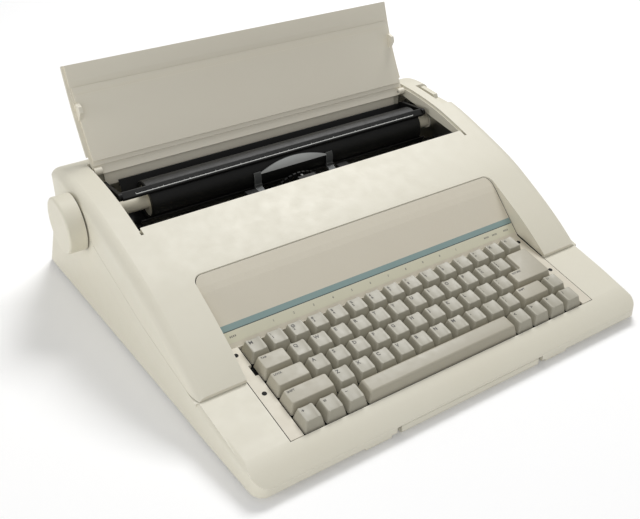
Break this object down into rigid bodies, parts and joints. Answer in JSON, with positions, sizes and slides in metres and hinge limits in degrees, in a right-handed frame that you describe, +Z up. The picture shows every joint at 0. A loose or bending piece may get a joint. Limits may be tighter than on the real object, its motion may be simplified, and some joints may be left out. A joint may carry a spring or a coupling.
{
  "type": "typewriter",
  "caption": "Portable electronic typewriter: wedge casing with sloping keyboard, open dust lid, platen with side knob, sliding print-wheel carriage and pull-out handle.",
  "frame": {"origin": "centre of the footprint, knob included, at desk level", "axes": "+X to the typist's right along the platen, +Y away from the typist, +Z up"},
  "size_m": [0.4214, 0.38, 0.1922],
  "materials": {
    "casing_plastic": "fine spark-eroded texture, satin",
    "panel_plastic": "fine texture, satin",
    "lid_plastic": "fine texture, satin",
    "key_plastic": "fine texture, satin",
    "knob_plastic": "satin",
    "inner_plastic": "plain moulded",
    "core_plastic": "plain moulded",
    "gear_plastic": "plain moulded",
    "black_plastic": "satin black",
    "platen_rubber": "ground",
    "feet_rubber": "moulded",
    "feed_rubber": "ground",
    "dome_rubber": "moulded",
    "belt_rubber": "moulded",
    "gland_rubber": "moulded",
    "bright_steel": "ground",
    "plated_steel": "zinc plated",
    "black_steel": "black",
    "motor_steel": "plated can",
    "core_steel": "laminations",
    "card_metal": "satin",
    "board_laminate": "circuit board",
    "switch_plastic": "gloss black",
    "bush_plastic": "acetal"
  },
  "bodies": {
    "casing": {"lower_housing": "casing_plastic", "upper_housing": "casing_plastic", "keyboard_panel": "panel_plastic", "lid_hinge_pins": "bright_steel", "platen_bushes": "bush_plastic", "feed_motor": "motor_steel", "paper_pan": "black_steel", "side_plates": "plated_steel", "guide_rod": "bright_steel", "support_rail": "plated_steel", "carriage_motor": "motor_steel", "idler_bracket": "plated_steel", "carriage_belt": "belt_rubber", "main_board": "board_laminate", "transformer": "core_steel", "key_frame": "inner_plastic", "dome_sheet": "dome_rubber", "keyboard_board": "board_laminate", "rubber_feet": "feet_rubber", "housing_screws": "plated_steel", "cord_gland": "gland_rubber"},
    "cover": {"lid": "lid_plastic"},
    "platen": {"platen_roller": "platen_rubber", "platen_core": "core_plastic", "platen_shaft": "bright_steel", "platen_knob": "knob_plastic", "platen_gear": "gear_plastic"},
    "pinion": {"feed_pinion": "gear_plastic"},
    "pressure_rollers": {"feed_rollers": "feed_rubber", "feed_roller_shaft": "bright_steel"},
    "bail": {"bail_bar": "black_steel", "bail_arms": "black_steel"},
    "release": {"release_lever": "knob_plastic"},
    "carriage": {"carriage_frame": "black_plastic", "daisy_motor": "motor_steel", "hammer_solenoid": "black_plastic", "card_holder": "card_metal", "ribbon_cassette": "black_plastic"},
    "print_wheel": {"daisy_wheel": "black_plastic"},
    "hammer": {"print_hammer": "bright_steel"},
    "left_pulley": {"drive_pulley": "gear_plastic"},
    "right_pulley": {"idler_pulley": "gear_plastic"},
    "handle": {"carry_handle": "casing_plastic"},
    "switch": {"power_switch": "switch_plastic"},
    "space_bar_body": {"space_bar": "key_plastic"},
    "return_key_body": {"return_key": "key_plastic"},
    "tab_key_body": {"tab_key": "key_plastic"},
    "shift_lock_key_body": {"shift_lock_key": "key_plastic"},
    "left_shift_key_body": {"left_shift_key": "key_plastic"},
    "right_shift_key_body": {"right_shift_key": "key_plastic"},
    "margin_release_key_body": {"margin_release_key": "key_plastic"},
    "correction_key_body": {"correction_key": "key_plastic"},
    "backspace_key_body": {"backspace_key": "key_plastic"},
    "relocate_key_body": {"relocate_key": "key_plastic"},
    "front_left_keys_body": {"front_left_keys": "key_plastic"},
    "front_right_keys_body": {"front_right_keys": "key_plastic"},
    "number_row_keys_body": {"number_row_keys": "key_plastic"},
    "upper_row_keys_body": {"upper_row_keys": "key_plastic"},
    "home_row_keys_body": {"home_row_keys": "key_plastic"},
    "lower_row_keys_body": {"lower_row_keys": "key_plastic"}
  },
  "joints": [
    {"name": "lid_hinge", "type": "hinge", "parent": "casing", "child": "cover", "pos_m": [0.0049, 0.1285, 0.109], "axis": [1, 0, 0], "range_deg": [0, 123.3]},
    {"name": "platen_spin", "type": "hinge", "parent": "casing", "child": "platen", "pos_m": [0.0049, 0.1, 0.084], "axis": [1, 0, 0], "continuous": true},
    {"name": "feed_pinion_spin", "type": "hinge", "parent": "casing", "child": "pinion", "pos_m": [-0.1804, 0.12212, 0.06851], "axis": [1, 0, 0], "continuous": true},
    {"name": "feed_roller_spin", "type": "hinge", "parent": "casing", "child": "pressure_rollers", "pos_m": [0.0049, 0.1, 0.0572], "axis": [1, 0, 0], "continuous": true},
    {"name": "bail_swing", "type": "hinge", "parent": "casing", "child": "bail", "pos_m": [0.0049, 0.122, 0.095], "axis": [1, 0, 0], "range_deg": [-65, 0]},
    {"name": "release_tilt", "type": "hinge", "parent": "casing", "child": "release", "pos_m": [0.1919, 0.111, 0.087], "axis": [1, 0, 0], "range_deg": [0, 20]},
    {"name": "carriage_slide", "type": "slide", "parent": "casing", "child": "carriage", "axis": [1, 0, 0], "range_m": [-0.106, 0.114]},
    {"name": "wheel_spin", "type": "hinge", "parent": "carriage", "child": "print_wheel", "pos_m": [0.0089, 0.072, 0.048], "axis": [0, 1, 0], "continuous": true},
    {"name": "hammer_stroke", "type": "slide", "parent": "carriage", "child": "hammer", "axis": [0, 1, 0], "range_m": [0, 0.003], "stiffness_N_per_m": 60, "springref_m": -0.002},
    {"name": "drive_pulley_spin", "type": "hinge", "parent": "casing", "child": "left_pulley", "pos_m": [-0.1551, 0.026, 0.041], "axis": [0, 0, 1], "range_deg": [-740, 690]},
    {"name": "idler_pulley_spin", "type": "hinge", "parent": "casing", "child": "right_pulley", "pos_m": [0.1649, 0.026, 0.041], "axis": [0, 0, 1], "range_deg": [-740, 690]},
    {"name": "handle_slide", "type": "slide", "parent": "casing", "child": "handle", "axis": [0, -1, 0], "range_m": [0, 0.035]},
    {"name": "power_rocker", "type": "hinge", "parent": "casing", "child": "switch", "pos_m": [0.1549, 0.17484, 0.045], "axis": [1, 0, 0], "range_deg": [0, 14]},
    {"name": "space_bar_travel", "type": "slide", "parent": "casing", "child": "space_bar_body", "axis": [0, -0.1633, 0.9866], "range_m": [-0.0035, 0], "stiffness_N_per_m": 300, "springref_m": 0.002},
    {"name": "return_key_travel", "type": "slide", "parent": "casing", "child": "return_key_body", "axis": [0, -0.1633, 0.9866], "range_m": [-0.0035, 0], "stiffness_N_per_m": 300, "springref_m": 0.002},
    {"name": "tab_key_travel", "type": "slide", "parent": "casing", "child": "tab_key_body", "axis": [0, -0.1633, 0.9866], "range_m": [-0.0035, 0], "stiffness_N_per_m": 150, "springref_m": 0.002},
    {"name": "shift_lock_key_travel", "type": "slide", "parent": "casing", "child": "shift_lock_key_body", "axis": [0, -0.1633, 0.9866], "range_m": [-0.0035, 0], "stiffness_N_per_m": 150, "springref_m": 0.002},
    {"name": "left_shift_key_travel", "type": "slide", "parent": "casing", "child": "left_shift_key_body", "axis": [0, -0.1633, 0.9866], "range_m": [-0.0035, 0], "stiffness_N_per_m": 150, "springref_m": 0.002},
    {"name": "right_shift_key_travel", "type": "slide", "parent": "casing", "child": "right_shift_key_body", "axis": [0, -0.1633, 0.9866], "range_m": [-0.0035, 0], "stiffness_N_per_m": 150, "springref_m": 0.002},
    {"name": "margin_release_key_travel", "type": "slide", "parent": "casing", "child": "margin_release_key_body", "axis": [0, -0.1633, 0.9866], "range_m": [-0.0035, 0], "stiffness_N_per_m": 150, "springref_m": 0.002},
    {"name": "correction_key_travel", "type": "slide", "parent": "casing", "child": "correction_key_body", "axis": [0, -0.1633, 0.9866], "range_m": [-0.0035, 0], "stiffness_N_per_m": 150, "springref_m": 0.002},
    {"name": "backspace_key_travel", "type": "slide", "parent": "casing", "child": "backspace_key_body", "axis": [0, -0.1633, 0.9866], "range_m": [-0.0035, 0], "stiffness_N_per_m": 150, "springref_m": 0.002},
    {"name": "relocate_key_travel", "type": "slide", "parent": "casing", "child": "relocate_key_body", "axis": [0, -0.1633, 0.9866], "range_m": [-0.0035, 0], "stiffness_N_per_m": 150, "springref_m": 0.002},
    {"name": "front_left_keys_travel", "type": "slide", "parent": "casing", "child": "front_left_keys_body", "axis": [0, -0.1633, 0.9866], "range_m": [-0.0035, 0], "stiffness_N_per_m": 450, "springref_m": 0.002},
    {"name": "front_right_keys_travel", "type": "slide", "parent": "casing", "child": "front_right_keys_body", "axis": [0, -0.1633, 0.9866], "range_m": [-0.0035, 0], "stiffness_N_per_m": 600, "springref_m": 0.002},
    {"name": "number_row_keys_travel", "type": "slide", "parent": "casing", "child": "number_row_keys_body", "axis": [0, -0.1633, 0.9866], "range_m": [-0.0035, 0], "stiffness_N_per_m": 1800, "springref_m": 0.002},
    {"name": "upper_row_keys_travel", "type": "slide", "parent": "casing", "child": "upper_row_keys_body", "axis": [0, -0.1633, 0.9866], "range_m": [-0.0035, 0], "stiffness_N_per_m": 1800, "springref_m": 0.002},
    {"name": "home_row_keys_travel", "type": "slide", "parent": "casing", "child": "home_row_keys_body", "axis": [0, -0.1633, 0.9866], "range_m": [-0.0035, 0], "stiffness_N_per_m": 1650, "springref_m": 0.002},
    {"name": "lower_row_keys_travel", "type": "slide", "parent": "casing", "child": "lower_row_keys_body", "axis": [0, -0.1633, 0.9866], "range_m": [-0.0035, 0], "stiffness_N_per_m": 1500, "springref_m": 0.002}
  ],
  "couplings": [
    {"joint": "feed_pinion_spin", "follows": "platen_spin", "ratio": -3},
    {"joint": "feed_roller_spin", "follows": "platen_spin", "ratio": -2.3125},
    {"joint": "drive_pulley_spin", "follows": "carriage_slide", "rad_per_m": -112.36},
    {"joint": "idler_pulley_spin", "follows": "carriage_slide", "rad_per_m": -112.36}
  ]
}
